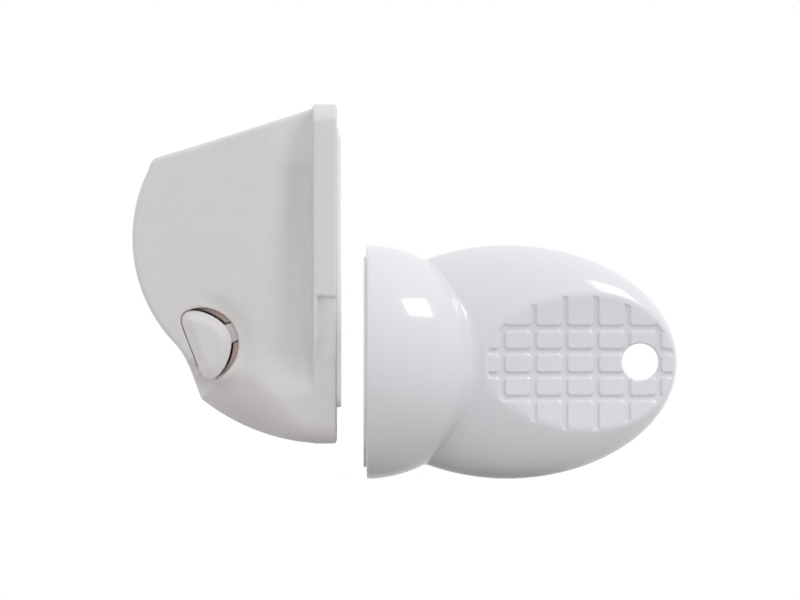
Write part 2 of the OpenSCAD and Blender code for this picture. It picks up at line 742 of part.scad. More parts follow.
module key_front_shell() color(key_white) {
    front_half();
    at_dowels() translate([0, 0, -dowel_len]) cylinder(r = dowel_r, h = dowel_len * 2, $fn = turn_fn);
}

module key_back_shell() color(key_white) {
    difference() {
        mirror([0, 1, 0]) front_half();
        at_dowels() translate([0, 0, -over])
            cylinder(r = dowel_r + slip, h = dowel_len + over + gap, $fn = turn_fn);
    }
}

module key_magnet() color(magnet_grey) {
    translate([magnet_face, 0, key_z]) along_x() cylinder(r = key_magnet_r, h = key_magnet_t, $fn = turn_fn);
}

module magnet_cup() color(steel) {
    translate([magnet_face, 0, key_z]) along_x() difference() {
        cylinder(r = cup_out, h = cup_len, $fn = turn_fn);
        translate([0, 0, -over]) cylinder(r = pole_r, h = key_magnet_t + over, $fn = turn_fn);
    }
}

module magnet_sleeve() color(pad_white) {
    translate([magnet_face, 0, key_z]) along_x() difference() {
        cylinder(r = pole_r - slip, h = key_magnet_t, $fn = turn_fn);
        translate([0, 0, -over])
            cylinder(r = key_magnet_r + slip, h = key_magnet_t + over * 2, $fn = turn_fn);
    }
}

module face_cap() color(key_white) {
    translate([face_x, 0, key_z]) along_x() cylinder(r = cap_r, h = face_cap_t, $fn = turn_fn);
}

module face_pad() color(pad_white) {
    translate([key_gap, 0, key_z]) along_x() cylinder(r = key_r * 0.9, h = face_pad_t, $fn = turn_fn);
}

lock_housing();
mounting_plate();
adhesive_pad();
case_screws();
pivot_pin();
pin_clip();
latch_lever();
lever_magnet();
magnet_cap();
lever_spring();
release_button();
button_pin();
button_spring();
key_front_shell();
key_back_shell();
key_magnet();
magnet_cup();
magnet_sleeve();
face_cap();
face_pad();
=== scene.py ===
"""Looks of a magnetic cabinet lock and its magnet key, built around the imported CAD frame.

Sizes are in millimetres, as in the CAD source, until a mesh is made; only the floor and the lamp
are sized in metres. Each moulded piece is a signed distance field on a grid: negative inside,
positive outside, and its skin is the zero level.
"""
import math

import bpy
import numpy as np
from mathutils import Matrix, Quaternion, Vector


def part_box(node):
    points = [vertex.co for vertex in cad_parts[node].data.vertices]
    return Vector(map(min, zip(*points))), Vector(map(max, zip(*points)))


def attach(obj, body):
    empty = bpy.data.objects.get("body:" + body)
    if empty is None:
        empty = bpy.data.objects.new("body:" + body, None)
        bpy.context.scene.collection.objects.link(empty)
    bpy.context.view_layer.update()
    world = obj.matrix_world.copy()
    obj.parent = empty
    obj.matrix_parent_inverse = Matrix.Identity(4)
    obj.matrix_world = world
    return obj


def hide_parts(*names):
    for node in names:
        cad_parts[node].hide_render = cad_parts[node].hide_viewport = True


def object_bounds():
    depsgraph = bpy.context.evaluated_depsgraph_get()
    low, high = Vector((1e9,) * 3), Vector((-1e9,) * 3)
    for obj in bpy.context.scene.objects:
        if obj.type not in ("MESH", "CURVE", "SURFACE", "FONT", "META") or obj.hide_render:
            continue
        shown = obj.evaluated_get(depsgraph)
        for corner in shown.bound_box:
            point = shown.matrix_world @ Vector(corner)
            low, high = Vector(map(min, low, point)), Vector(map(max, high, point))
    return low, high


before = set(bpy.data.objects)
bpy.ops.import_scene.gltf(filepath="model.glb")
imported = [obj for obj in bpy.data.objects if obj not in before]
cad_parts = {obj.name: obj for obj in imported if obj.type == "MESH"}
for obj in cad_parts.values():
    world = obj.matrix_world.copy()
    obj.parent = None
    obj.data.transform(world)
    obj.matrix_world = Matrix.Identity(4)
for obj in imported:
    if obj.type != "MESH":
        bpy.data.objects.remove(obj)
cad_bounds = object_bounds()
MM = 0.001


def frame_box(node):
    """Lowest and highest corner of a CAD node at rest, in millimetres to the nearest micrometre."""
    low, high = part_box(node)
    return np.round(np.array(low) / MM, 3), np.round(np.array(high) / MM, 3)


# Sizes and places that the frame gives
CASE_LOW, CASE_HIGH = frame_box("lock_housing")
PAD_LOW, PAD_HIGH = frame_box("adhesive_pad")
FACE_LOW, FACE_HIGH = frame_box("face_pad")
KEY_LOW, KEY_HIGH = frame_box("key_back_shell")
CUP_LOW, CUP_HIGH = frame_box("magnet_cup")
CASE_H, FLANGE_W = CASE_HIGH[2] - CASE_LOW[2], CASE_HIGH[1] - CASE_LOW[1]
FLANGE_BACK, CASE_FOOT = CASE_HIGH[0], CASE_LOW[2]
KEY_R, KEY_Z, KEY_END = (KEY_HIGH[2] - KEY_LOW[2]) / 2, (KEY_HIGH[2] + KEY_LOW[2]) / 2, KEY_HIGH[0]
KEY_GAP, FACE_X = FACE_LOW[0], FACE_HIGH[0]
CUP_OUT, CUP_LEN, FACE_CAP_T = CUP_HIGH[1], CUP_HIGH[0] - CUP_LOW[0], CUP_LOW[0] - FACE_X

# Other sizes shared with the CAD source
FLANGE_T, FLANGE_CORNER, PLATE_T = 5.2, 5.0, 3.0
BODY_W, WALL, EDGE_R = 34.0, 2.1, 1.5
BELLY_R, SOLE_R = 33.0, 44.0
PIVOT = np.array([-12.2, 7.8])
FLAP_LEN, FLAP_W, HOLE_LEN, FLAP_TILT = 9.0, 15.6, 10.5, 21.6
DOME_LEN, GRIP_CENTRE, GRIP_HALF_T = 26.7, 30.6, 13.0
HANG_R, HANG_EDGE = 4.0, 8.0

FLANGE_FRONT = FLANGE_BACK - FLANGE_T
PLATE_FRONT = FLANGE_BACK - PLATE_T
SIDE_Y = BODY_W / 2
INNER_Y = SIDE_Y - WALL
GRIP_X = FACE_X + GRIP_CENTRE
GRIP_HALF_LEN = KEY_END - GRIP_X
HANG_X = KEY_END - HANG_EDGE


# Outlines in the XZ plane

def arc(centre, r, start, end, steps):
    """Points along a round stretch; the angles are in degrees."""
    a = np.radians(np.linspace(start, end, steps + 1))
    return np.array(centre) + r * np.stack([np.cos(a), np.sin(a)], 1)


def bezier(points, steps):
    """Points along a Bezier curve of any order."""
    pts = np.array(points, float)[None].repeat(steps + 1, 0)
    t = np.linspace(0, 1, steps + 1)[:, None, None]
    while pts.shape[1] > 1:
        pts = pts[:, :-1] * (1 - t) + pts[:, 1:] * t
    return pts[:, 0]


# Angles where the round stretches start and end, in degrees
BELLY_FROM, BELLY_TO = 153, 223.5
SOLE_FROM, SOLE_TO = 231.2, 266
# Places on the outline, as shares of the size that each follows
SOLE_BACK_SHARE, BROW_SHARE = 0.041, 0.975
SHOULDER_SHARES = np.array([0.062, 0.078])
SLOPE_SHARES = np.array([0.13, 0.049])
NOSE_SHARES = np.array([0.05, 0.012])
WAIST_SHARES, HEEL_SHARES = np.array([0.097, -0.1]), np.array([-0.058, 0.142])
FLAP_SHARES = np.array([-0.615, -0.727])

SOLE_CENTRE = np.array([FLANGE_BACK - SOLE_R * SOLE_BACK_SHARE, CASE_FOOT + SOLE_R])
BROW = np.array([FLANGE_FRONT, -CASE_FOOT * BROW_SHARE])
HEEL = arc(SOLE_CENTRE, SOLE_R, SOLE_FROM, SOLE_FROM, 1)[0]
WAIST = arc(PIVOT, BELLY_R, BELLY_TO, BELLY_TO, 1)[0]
NOSE = arc(PIVOT, BELLY_R, BELLY_FROM, BELLY_FROM, 1)[0]
SHOULDER = NOSE + BELLY_R * SHOULDER_SHARES
SLOPE_MID = (BROW + SHOULDER) / 2 - BELLY_R * SLOPE_SHARES
NOSE_BEND = SHOULDER - BELLY_R * NOSE_SHARES
WAIST_BEND = [WAIST + BELLY_R * WAIST_SHARES, HEEL + BELLY_R * HEEL_SHARES]

SLOPE_LINE = bezier([BROW, SLOPE_MID, SHOULDER], 24)
NOSE_LINE = bezier([SHOULDER, NOSE_BEND, NOSE], 10)
BELLY_LINE = arc(PIVOT, BELLY_R, BELLY_FROM, BELLY_TO, 60)
WAIST_LINE = bezier([WAIST, *WAIST_BEND, HEEL], 32)
SOLE_LINE = arc(SOLE_CENTRE, SOLE_R, SOLE_FROM, SOLE_TO, 36)
REAR = np.concatenate([SLOPE_LINE, NOSE_LINE[1:], BELLY_LINE[1:], WAIST_LINE[1:]])
# The outer form's outline is closed far behind the flange, so only its real edges count near the case
FAR_END = 30.0


def closed_case(x_end):
    """The case's side view, closed by a straight line at x_end."""
    return np.concatenate([[[x_end, BROW[1]]], REAR, SOLE_LINE[1:], [[x_end, SOLE_LINE[-1, 1]]]])


FLAP_ORIGIN = PIVOT + BELLY_R * FLAP_SHARES
FLAP_A = math.radians(FLAP_TILT)
FLAP_U = np.array([math.cos(FLAP_A), math.sin(FLAP_A)])
FLAP_V = np.array([math.sin(FLAP_A), -math.cos(FLAP_A)])
# Bezier points of half the pick, as shares of its length and half width
CORNER_SHARES = [[0, 0.64], [0, 0.95], [0.144, 1.038], [0.31, 1]]
FLANK_SHARES = [[0.31, 1], [0.55, 0.94], [1, 0.46], [1, 0]]
FULL_FLANK_SHARES = [[0.31, 1], [0.62, 1], [1, 0.57], [1, 0]]


def pick_line(back, length, half, flank):
    """Outline of the rounded pick that the button and its opening share, in the button's u and v."""
    scale = np.array([length - back, half])
    side = np.concatenate([bezier(CORNER_SHARES, 12), bezier(flank, 24)[1:]]) * scale + [back, 0]
    return np.concatenate([side, side[-2::-1] * [1, -1]])


# Distance fields

class Grid:
    """Sample points of a box, as open axes that broadcast against each other."""

    def __init__(self, low, high, step):
        counts = [int(math.ceil((h - l) / step)) + 1 for l, h in zip(low, high)]
        axes = [l + step * np.arange(n, dtype=np.float32) for l, n in zip(low, counts)]
        self.low, self.step, self.shape = np.array(low, float), step, tuple(counts)
        self.x, self.y, self.z = (a.reshape([-1 if i == k else 1 for i in range(3)])
                                  for k, a in enumerate(axes))


def inside_both(a, b, r=0.0):
    """Common part of two fields, with its outer edge rounded to radius r."""
    if np.isscalar(r) and r <= 0:
        return np.maximum(a, b)
    u, v = a + r, b + r
    return np.hypot(np.maximum(u, 0), np.maximum(v, 0)) + np.minimum(np.maximum(u, v), 0) - r


def joined(a, b, r=0.0):
    """Both fields together, with a hollow fillet of radius r between them."""
    return -inside_both(-a, -b, r)


def cut(a, tool, r=0.0):
    """Field a without the tool, with the new edge rounded to radius r."""
    return inside_both(a, -tool, r)


def outline_field(px, pz, line):
    """Signed distance to a closed outline, for points of a plane."""
    px, pz = np.broadcast_arrays(px, pz)
    best = np.full(px.shape, 1e9, np.float32)
    odd = np.zeros(px.shape, bool)
    for a, b in zip(line, np.roll(line, -1, 0)):
        d = b - a
        length = float(d @ d)
        if length < 1e-9:
            continue
        t = np.clip(((px - a[0]) * d[0] + (pz - a[1]) * d[1]) / length, 0, 1)
        best = np.minimum(best, (px - a[0] - t * d[0]) ** 2 + (pz - a[1] - t * d[1]) ** 2)
        if a[1] != b[1]:
            crosses = (a[1] > pz) != (b[1] > pz)
            odd ^= crosses & (px < a[0] + (pz - a[1]) * d[0] / (b[1] - a[1]))
    best = np.sqrt(best)
    return np.where(odd, -best, best)


def box_field(g, low, high):
    """A box between two corners."""
    dist = None
    for axis, l, h in zip((g.x, g.y, g.z), low, high):
        d = np.abs(axis - (l + h) / 2) - (h - l) / 2
        dist = d if dist is None else np.maximum(dist, d)
    return dist


def rounded_rect(py, pz, w, h, r):
    """Signed distance to a rectangle with round corners, centred on zero."""
    qy, qz = np.abs(py) - w / 2 + r, np.abs(pz) - h / 2 + r
    return np.hypot(np.maximum(qy, 0), np.maximum(qz, 0)) + np.minimum(np.maximum(qy, qz), 0) - r


def bar(axis_x, axis_y, r, along, low, high, edge=0.0):
    """A round bar: radial distance in two axes, length along the third."""
    ends = np.abs(along - (low + high) / 2) - (high - low) / 2
    return inside_both(np.hypot(axis_x, axis_y) - r, ends, edge)


def ramp(v, low, high):
    """A smooth step from 0 to 1."""
    t = np.clip((v - low) / (high - low), 0, 1)
    return t * t * (3 - 2 * t)


# Skins

CORNERS = np.array([[i, j, k] for i in (0, 1) for j in (0, 1) for k in (0, 1)])
EDGES = [(a, b) for a in range(8) for b in range(8) if a < b and np.abs(CORNERS[a] - CORNERS[b]).sum() == 1]


def net_of(field, grid):
    """Surface net of the zero level: one point in each cell that it crosses, and the quads between them."""
    inside = field < 0
    count = np.zeros([n - 1 for n in field.shape], np.int8)
    for i, j, k in CORNERS:
        count += inside[i:inside.shape[0] - 1 + i, j:inside.shape[1] - 1 + j, k:inside.shape[2] - 1 + k]
    cells = np.argwhere((count > 0) & (count < 8))
    values = np.stack([field[tuple((cells + c).T)] for c in CORNERS], 1)
    total, hits = np.zeros((len(cells), 3)), np.zeros(len(cells))
    for a, b in EDGES:
        va, vb = values[:, a], values[:, b]
        crossed = (va < 0) != (vb < 0)
        t = np.where(crossed, va / np.where(crossed, va - vb, 1), 0)
        total += crossed[:, None] * (CORNERS[a] + t[:, None] * (CORNERS[b] - CORNERS[a]))
        hits += crossed
    points = grid.low + grid.step * (cells + total / hits[:, None])
    number = np.full(count.shape, -1, np.int32)
    number[tuple(cells.T)] = np.arange(len(cells))
    quads = []
    for axis in range(3):
        p, q = (axis + 1) % 3, (axis + 2) % 3
        first = [slice(1, -1)] * 3
        first[axis] = slice(0, -1)
        second = list(first)
        second[axis] = slice(1, None)
        ends = inside[tuple(first)], inside[tuple(second)]
        for outward, mask in ((1, ends[0] & ~ends[1]), (-1, ~ends[0] & ends[1])):
            at = np.argwhere(mask)
            at[:, p] += 1
            at[:, q] += 1
            ring = []
            for dp, dq in ((-1, -1), (0, -1), (0, 0), (-1, 0)):
                cell = at.copy()
                cell[:, p] += dp
                cell[:, q] += dq
                ring.append(number[tuple(cell.T)])
            quads.append(np.stack(ring[::outward], 1))
    return points, np.concatenate(quads)


def sampled(field, grid, points):
    """Field values between the grid's points."""
    at = (points - grid.low) / grid.step
    base = np.clip(at.astype(int), 0, np.array(field.shape) - 2)
    t = np.clip(at - base, 0, 1)
    value = 0
    for c in CORNERS:
        weight = np.prod(np.where(c, t, 1 - t), 1)
        value = value + weight * field[tuple((base + c).T)]
    return value


def slopes(field, grid, points, reach=0.6):
    """Unit normals from the field's slope around each point."""
    steps = np.eye(3) * grid.step * reach
    slope = np.stack([sampled(field, grid, points + s) - sampled(field, grid, points - s) for s in steps], 1)
    return slope / np.maximum(np.linalg.norm(slope, axis=1, keepdims=True), 1e-9)


def skin(name, field, grid, body, slot, material, *nodes):
    """Turns a field into a smooth mesh that rides on a body and stands for the named CAD nodes."""
    points, quads = net_of(field, grid)
    # Two rounds bring the net's points onto the surface
    for _ in range(2):
        normals = slopes(field, grid, points)
        level = sampled(field, grid, points)[:, None]
        points = points - normals * np.clip(level, -grid.step / 2, grid.step / 2)
    normals = slopes(field, grid, points)
    mesh = bpy.data.meshes.new(name)
    mesh.from_pydata((points * MM).tolist(), [], quads.tolist())
    mesh.validate()
    mesh.polygons.foreach_set("use_smooth", np.ones(len(mesh.polygons), bool))
    mesh.normals_split_custom_set_from_vertices(normals.tolist())
    mesh.materials.append(material)
    piece = bpy.data.objects.new(name, mesh)
    bpy.context.scene.collection.objects.link(piece)
    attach(piece, body)
    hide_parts(*nodes)
    return piece


def paint_shade_inside(piece, outer, grid, material, depth=0.45):
    """Gives the faces that lie deeper than this inside the outer form a darker warm colour: painted shade
    for the case's hollows and the gaps round the button, on the same plastic.
    """
    mesh = piece.data
    mesh.materials.append(material)
    centres = np.empty(len(mesh.polygons) * 3)
    mesh.polygons.foreach_get("center", centres)
    deep = sampled(outer, grid, centres.reshape(-1, 3) / MM) < -depth
    mesh.polygons.foreach_set("material_index", deep.astype(np.int32))


# Lock housing. A pair of values named after an axis holds the two ends of a stretch, over which a form
# comes in or a piece reaches: X, Y and Z along the frame's axes, DOWN along -Z, U and V along the button's

NECK_Y, NECK_X, NECK_SOFT = INNER_Y - 2.2, -16.3, 1.5
SKIRT_Y = FLANGE_W / 2
FOOT_Y = 17.15
LUG_FROM, LUG_W, LUG_T, LUG_OUT, LUG_Y = 3.92, 2.0, 2.8, 2.4, 1.6 - INNER_Y
HINGE_U, HINGE_Y, KNUCKLE_R, FLAP_PIN_R, PIN_ROOM = 1.5, -13.3, 1.25, 0.75, 0.05
LUG_BORE, BUTTON_BORE = 7, 8
MAGNET_Z, CUP_BACK = KEY_Z, -15.4
HOLE_GAP = 0.08
HOLE_LINE = pick_line(-HOLE_GAP, HOLE_LEN, FLAP_W / 2 + HOLE_GAP, FULL_FLANK_SHARES)
BUTTON_LINE = pick_line(0, FLAP_LEN, FLAP_W / 2, FLANK_SHARES)

# How the foot's side turns in toward the sole
SOLE_TURN, FLANGE_TURN, STEEPEST_SHARE = 12.5, 4.6, 0.97
TURN_X, TURN_DOWN = (-20, FLANGE_FRONT), (15.0, 25.0)

# Where the hollow is narrow in the foot, and its thicker wall over the sole
NECK_DOWN = (17.5, 21.5)
SOLE_WALL, SOLE_WALL_REACH, SOLE_WALL_DOWN = 4.5, 6, (21.0, 27.0)

# The valley beside the flange, the cove above the foot, and the foot itself
VALLEY, SHALLOWER, SHALLOWER_Z = 3.3, 1.1, (20, 25)
VALLEY_FROM, VALLEY_REACH, VALLEY_WIDER, WIDER_DOWN = 2.0, 10.2, 6.0, (-20, 16)
COVE, BELLY_COVE, NECK_COVE = 0.4, 0.4, 1.6
BELLY_COVE_X, NECK_COVE_X, COVE_DOWN = (-28, -19), (-18.5, -11), (3.0, 17.5)
FOOT_X, FOOT_DOWN = (-19, -7), (17.0, 27.0)
HEEL_IN, HEEL_X = 0.9, (-24, -10)
VALLEY_SOFT = 0.8

# The dish beside the button, and the lip under the button
DISH, DISH_REACH, DISH_U = 0.95, 2.6, (4.5, 10.0)
LIP, LIP_FROM, LIP_REACH, LIP_U, LIP_V = 0.4, 1.1, 0.7, (0.5, 2.5), (4.5, 7.0)

# The notch in the flange's edge
NOTCH_X, NOTCH_LEAN_SHARE, NOTCH_LEAN_W = (-5.3, -4.7), 0.3, 2
NOTCH_STEP, NOTCH_STEP_DOWN = 1.35, (4.6, 5.2)
NOTCH_SLOPE, NOTCH_SLOPE_DOWN = 0.2, (5.4, 16.0)

# The least wall outside the hollow, the outer edges, and the flange's fillet
LEAST_WALL, LEAST_SOFT, EDGE_FALL, EDGE_REACH = 0.5, 0.8, 5, 2.4
CASE_EDGE, FLANGE_EDGE, FLANGE_DRAFT = 0.9, 0.6, 0.07
SKIRT_DOWN, SKIRT_SOFT, CORNER_DOWN = (13.0, 21.0), 0.3, (0, 10)
FILLET, FILLET_MORE, FILLET_DOWN, FILLET_Z = 0.1, 1.4, (10, 18), (30, 34)

# The hollow, the pocket for the mounting plate, and the mouth, whose heights are from the pivot
HOLLOW_EDGE, POCKET_RIM, POCKET_CORNER, POCKET_EDGE = 0.8, 4.1, 2.8, 0.2
MOUTH_X, MOUTH_HALF, MOUTH_FROM, MOUTH_TO, MOUTH_EDGE = (-50, -32.3), 8.5, 2.6, 13.8, 0.5
SMALL_EDGE, RIM_OVER = 0.25, 1
# Screw bosses with their pilot holes, the lever's stop, and the ledge round the button
BOSS_Z, BOSS_R, BOSS_LEN, BOSS_FILLET, BOSS_Y = 27.4, 2.9, 13.2, 0.4, NECK_Y - 1
PILOT_R, PILOT_LEN, PILOT_OVER = 1.3, 11, 1
STOP_X, STOP_HALF_W, STOP_HALF_H, STOP_GAP = -36, 1.5, 1.2, 0.3
LEDGE_Y, LEDGE_HALF_T, LEDGE_HOLD, LEDGE_GAP, LEDGE_U = 14.2, 0.7, 1, 0.12, 3
SWING_ROOM, TONGUE_ROOM = 0.32, 2.3


def flap_axes(g):
    """The button's u and v for the grid's points."""
    dx, dz = g.x - FLAP_ORIGIN[0], g.z - FLAP_ORIGIN[1]
    return dx * FLAP_U[0] + dz * FLAP_U[1], dx * FLAP_V[0] + dz * FLAP_V[1]


def blended(a, b, reach):
    """The lesser of two fields; reach is how far the soft join spreads, and may vary over the grid."""
    h = np.maximum(reach - np.abs(a - b), 0) / reach
    return np.minimum(a, b) - h * h * reach / 4


def greater(a, b, reach):
    """The greater of two lengths, with a soft join."""
    return -blended(-a, -b, reach)


def turned_in(g, profile):
    """How far the foot's side has turned in toward the sole."""
    turn = SOLE_TURN + (FLANGE_TURN - SOLE_TURN) * ramp(g.x, *TURN_X)
    sole = np.clip(turn + profile, 0, turn * STEEPEST_SHARE) * ramp(-g.z, *TURN_DOWN)
    return turn - np.sqrt(turn ** 2 - sole * sole)


def hollow_half(g, profile):
    """Half width of the hollow: wide behind the belly, narrow beside the valleys and in the foot."""
    narrow = np.maximum(ramp(g.x, NECK_X - NECK_SOFT, NECK_X), ramp(-g.z, *NECK_DOWN))
    sole = SOLE_WALL * ramp(profile, -WALL - SOLE_WALL_REACH, -WALL) * ramp(-g.z, *SOLE_WALL_DOWN)
    return INNER_Y - (INNER_Y - NECK_Y) * narrow - sole


def side_width(g, profile):
    """Half width of the case over its side view.

    A valley runs down beside the flange and widens into a cove above the foot. The foot comes out
    again to meet the flange, and turns in toward the sole.
    """
    reach = VALLEY_REACH + VALLEY_WIDER * ramp(-g.z, *WIDER_DOWN)
    beside = 1 - ramp(FLANGE_FRONT - g.x, VALLEY_FROM, reach)
    valley = (VALLEY - SHALLOWER * ramp(g.z, *SHALLOWER_Z)) * beside
    cove = COVE + BELLY_COVE * ramp(g.x, *BELLY_COVE_X) + NECK_COVE * ramp(g.x, *NECK_COVE_X)
    cove = cove * ramp(-g.z, *COVE_DOWN)
    filled = ramp(-g.z, *FOOT_DOWN)
    foot = (FOOT_Y - SIDE_Y) * ramp(g.x, *FOOT_X)
    heel = HEEL_IN * (1 - ramp(g.x, *HEEL_X))
    sunk = greater(valley, cove, VALLEY_SOFT) * (1 - filled)
    return SIDE_Y - sunk + (foot - heel) * filled - turned_in(g, profile)


def button_dish(g, rim):
    """A soft dish beside the button's opening, for the fingertip, and the low lip under it."""
    u, v = flap_axes(g)
    away = np.maximum(rim, 0)
    dish = DISH * np.exp(-(away / DISH_REACH) ** 2) * ramp(u, *DISH_U)
    lip = LIP * np.exp(-((away - LIP_FROM) / LIP_REACH) ** 2) * ramp(v, *LIP_V) * ramp(u, *LIP_U)
    return dish - lip


def flange_notch(g):
    """The thumb notch in the flange's edge: a step down, then a slope that runs out at the foot."""
    lean = NOTCH_LEAN_SHARE * np.clip((g.x - NOTCH_X[1]) / NOTCH_LEAN_W, 0, 1)
    across = ramp(g.x, *NOTCH_X) * (1 - lean)
    return across * (NOTCH_STEP * ramp(-g.z, *NOTCH_STEP_DOWN) + NOTCH_SLOPE * ramp(-g.z, *NOTCH_SLOPE_DOWN))


def flange_field(g):
    """The flange round the case's open side, which narrows to the foot's width below."""
    side = np.abs(g.y)
    foot = (SKIRT_Y - FOOT_Y) * ramp(-g.z, *SKIRT_DOWN)
    corner = FLANGE_CORNER + (FLANGE_TURN - FLANGE_CORNER) * ramp(-g.z, *CORNER_DOWN)
    plate = rounded_rect(side + foot, g.z, FLANGE_W, CASE_H, corner)
    draft = FLANGE_DRAFT * (g.x - FLANGE_FRONT)
    drawn_in = greater(np.maximum(flange_notch(g), draft), foot, SKIRT_SOFT)
    plate = np.maximum(plate, side + drawn_in - SKIRT_Y)
    return inside_both(plate, np.abs(g.x - (FLANGE_BACK + FLANGE_FRONT) / 2) - FLANGE_T / 2, FLANGE_EDGE)


def lock_case(g, rim):
    """The case's outer form, before it is hollowed."""
    profile = outline_field(g.x, g.z, closed_case(FAR_END))
    width = side_width(g, profile)
    width = np.where(g.y < 0, width - button_dish(g, rim), width)
    # The side never comes nearer to the hollow than the least wall, except at the rounded edge
    least = hollow_half(g, profile) + LEAST_WALL - EDGE_FALL * ramp(profile, -EDGE_REACH, 0)
    width = greater(width, least, LEAST_SOFT)
    case = inside_both(np.maximum(profile, g.x - FLANGE_BACK + EDGE_R), np.abs(g.y) - width, CASE_EDGE)
    fillet = FILLET + FILLET_MORE * (1 - ramp(-g.z, *FILLET_DOWN)) * (1 - ramp(g.z, *FILLET_Z))
    return joined(case, flange_field(g), fillet)


def lever_stop(g):
    """The rib inside the case that the lever's magnet cup comes to rest against."""
    return box_field(g, (STOP_X, -STOP_HALF_W, MAGNET_Z - STOP_HALF_H),
                     (CUP_BACK - STOP_GAP, STOP_HALF_W, MAGNET_Z + STOP_HALF_H))


def button_lugs(g):
    """The two lugs inside the case that carry the button's pin."""
    u, v = flap_axes(g)
    lug_v = np.abs(np.abs(v) - LUG_FROM - LUG_W / 2) - LUG_W / 2
    lug_u = np.abs(u - (HINGE_U + KNUCKLE_R - LUG_OUT) / 2) - (HINGE_U + KNUCKLE_R + LUG_OUT) / 2
    lug_y = np.abs(g.y - LUG_Y) - LUG_T / 2
    return np.maximum(np.maximum(lug_u, lug_v), lug_y)


def gap_ledge(g, rim):
    """A ledge inside the opening that backs the gap round the button, except where its tongue passes."""
    u, v = flap_axes(g)
    cap = outline_field(u, v, BUTTON_LINE)
    swung = outline_field(u - SWING_ROOM, v, BUTTON_LINE)
    clear = np.maximum(LEDGE_GAP - cap, LEDGE_GAP - swung)
    sides = np.maximum(TONGUE_ROOM - np.abs(v), LEDGE_U - u)
    ledge = np.maximum(np.maximum(rim - LEDGE_HOLD, clear), sides)
    return np.maximum(ledge, np.abs(g.y + LEDGE_Y) - LEDGE_HALF_T)


def pin_bore(g, reach):
    """The bore for the button's pin, over this far to each side of the button's middle."""
    u, v = flap_axes(g)
    return np.maximum(np.hypot(u - HINGE_U, g.y - HINGE_Y) - FLAP_PIN_R - PIN_ROOM, np.abs(v) - reach)


def lock_field(g, case, rim):
    """The hollow case with its openings, bosses, stop, lugs and ledge."""
    side = np.abs(g.y)
    inner = outline_field(g.x, g.z, closed_case(WALL)) + WALL
    case = cut(case, inside_both(inner, side - hollow_half(g, inner - WALL), HOLLOW_EDGE))
    pocket = rounded_rect(side, g.z, FLANGE_W - POCKET_RIM, CASE_H - POCKET_RIM, POCKET_CORNER)
    case = cut(case, np.maximum(pocket, PLATE_FRONT - g.x), POCKET_EDGE)
    mouth = box_field(g, (MOUTH_X[0], -MOUTH_HALF, PIVOT[1] - MOUTH_FROM),
                      (MOUTH_X[1], MOUTH_HALF, PIVOT[1] + MOUTH_TO))
    case = cut(case, mouth, MOUTH_EDGE)
    case = cut(case, np.maximum(rim, g.y + INNER_Y - RIM_OVER), SMALL_EDGE)

    for z in (-BOSS_Z, BOSS_Z):
        boss = bar(side - BOSS_Y, g.z - z, BOSS_R, g.x, PLATE_FRONT - BOSS_LEN, PLATE_FRONT)
        case = joined(case, boss, BOSS_FILLET)
    inner_parts = np.minimum(np.minimum(lever_stop(g), button_lugs(g)), gap_ledge(g, rim))
    case = joined(case, np.maximum(inner_parts, inner - WALL / 2), SMALL_EDGE)
    case = cut(case, pin_bore(g, LUG_BORE))
    for z in (-BOSS_Z, BOSS_Z):
        pilot = bar(side - BOSS_Y, g.z - z, PILOT_R, g.x, PLATE_FRONT - PILOT_LEN, PLATE_FRONT + PILOT_OVER)
        case = cut(case, pilot)
    return case


# Release button

CAP_Y, CAP_HALF_T, CAP_EDGE, CROWN, CROWN_REACH = 0.85 - SIDE_Y, 1.05, 0.4, 0.9, 2.6
TONGUE_HALF_W, TONGUE_U, TONGUE_HALF_LEN, TONGUE_Y, TONGUE_HALF_T = 2.1, 9.5, 1.8, -14.05, 0.6
STEM_Y = -14.6
WEB_U, WEB_HALF_T, WEB_HALF_H = 7.92, 0.6, 1
KNUCKLE_V, KNUCKLE_HALF_W, STEM_HALF_T, STEM_HALF_H = 1.31, 2.43, 0.62, 1.3
PEG_U, PEG_R, PEG_Y, PEG_EDGE, BUTTON_FILLET = 6.3, 1.0, (-15.5, -10.2), 0.3, 0.3


def button_field(g):
    """The button: its cap, the tongue under the case's wall, the hinge knuckle and the peg."""
    u, v = flap_axes(g)
    cap = outline_field(u, v, BUTTON_LINE)
    # The cap's face falls softly toward its edge
    crown = np.where(g.y < CAP_Y, CROWN * ramp(cap, -CROWN_REACH, 0), 0)
    button = inside_both(cap, np.abs(g.y - CAP_Y) - CAP_HALF_T + crown, CAP_EDGE)
    beside_tongue = np.abs(v) - TONGUE_HALF_W
    beside_knuckle = np.abs(v + KNUCKLE_V) - KNUCKLE_HALF_W
    tongue = np.maximum(beside_tongue, np.abs(u - TONGUE_U) - TONGUE_HALF_LEN)
    tongue = inside_both(tongue, np.abs(g.y - TONGUE_Y) - TONGUE_HALF_T, SMALL_EDGE)
    web = np.maximum(beside_tongue, np.abs(u - WEB_U) - WEB_HALF_T)
    web = np.maximum(web, np.abs(g.y - STEM_Y) - WEB_HALF_H)
    knuckle = np.maximum(np.hypot(u - HINGE_U, g.y - HINGE_Y) - KNUCKLE_R, beside_knuckle)
    stem = np.maximum(beside_knuckle, np.abs(u - HINGE_U) - STEM_HALF_T)
    stem = np.maximum(stem, np.abs(g.y - STEM_Y) - STEM_HALF_H)
    peg = bar(u - PEG_U, v, PEG_R, g.y, *PEG_Y, PEG_EDGE)
    for more in (tongue, web, knuckle, stem, peg):
        button = joined(button, more, BUTTON_FILLET)
    return cut(button, pin_bore(g, BUTTON_BORE))


# Key shells

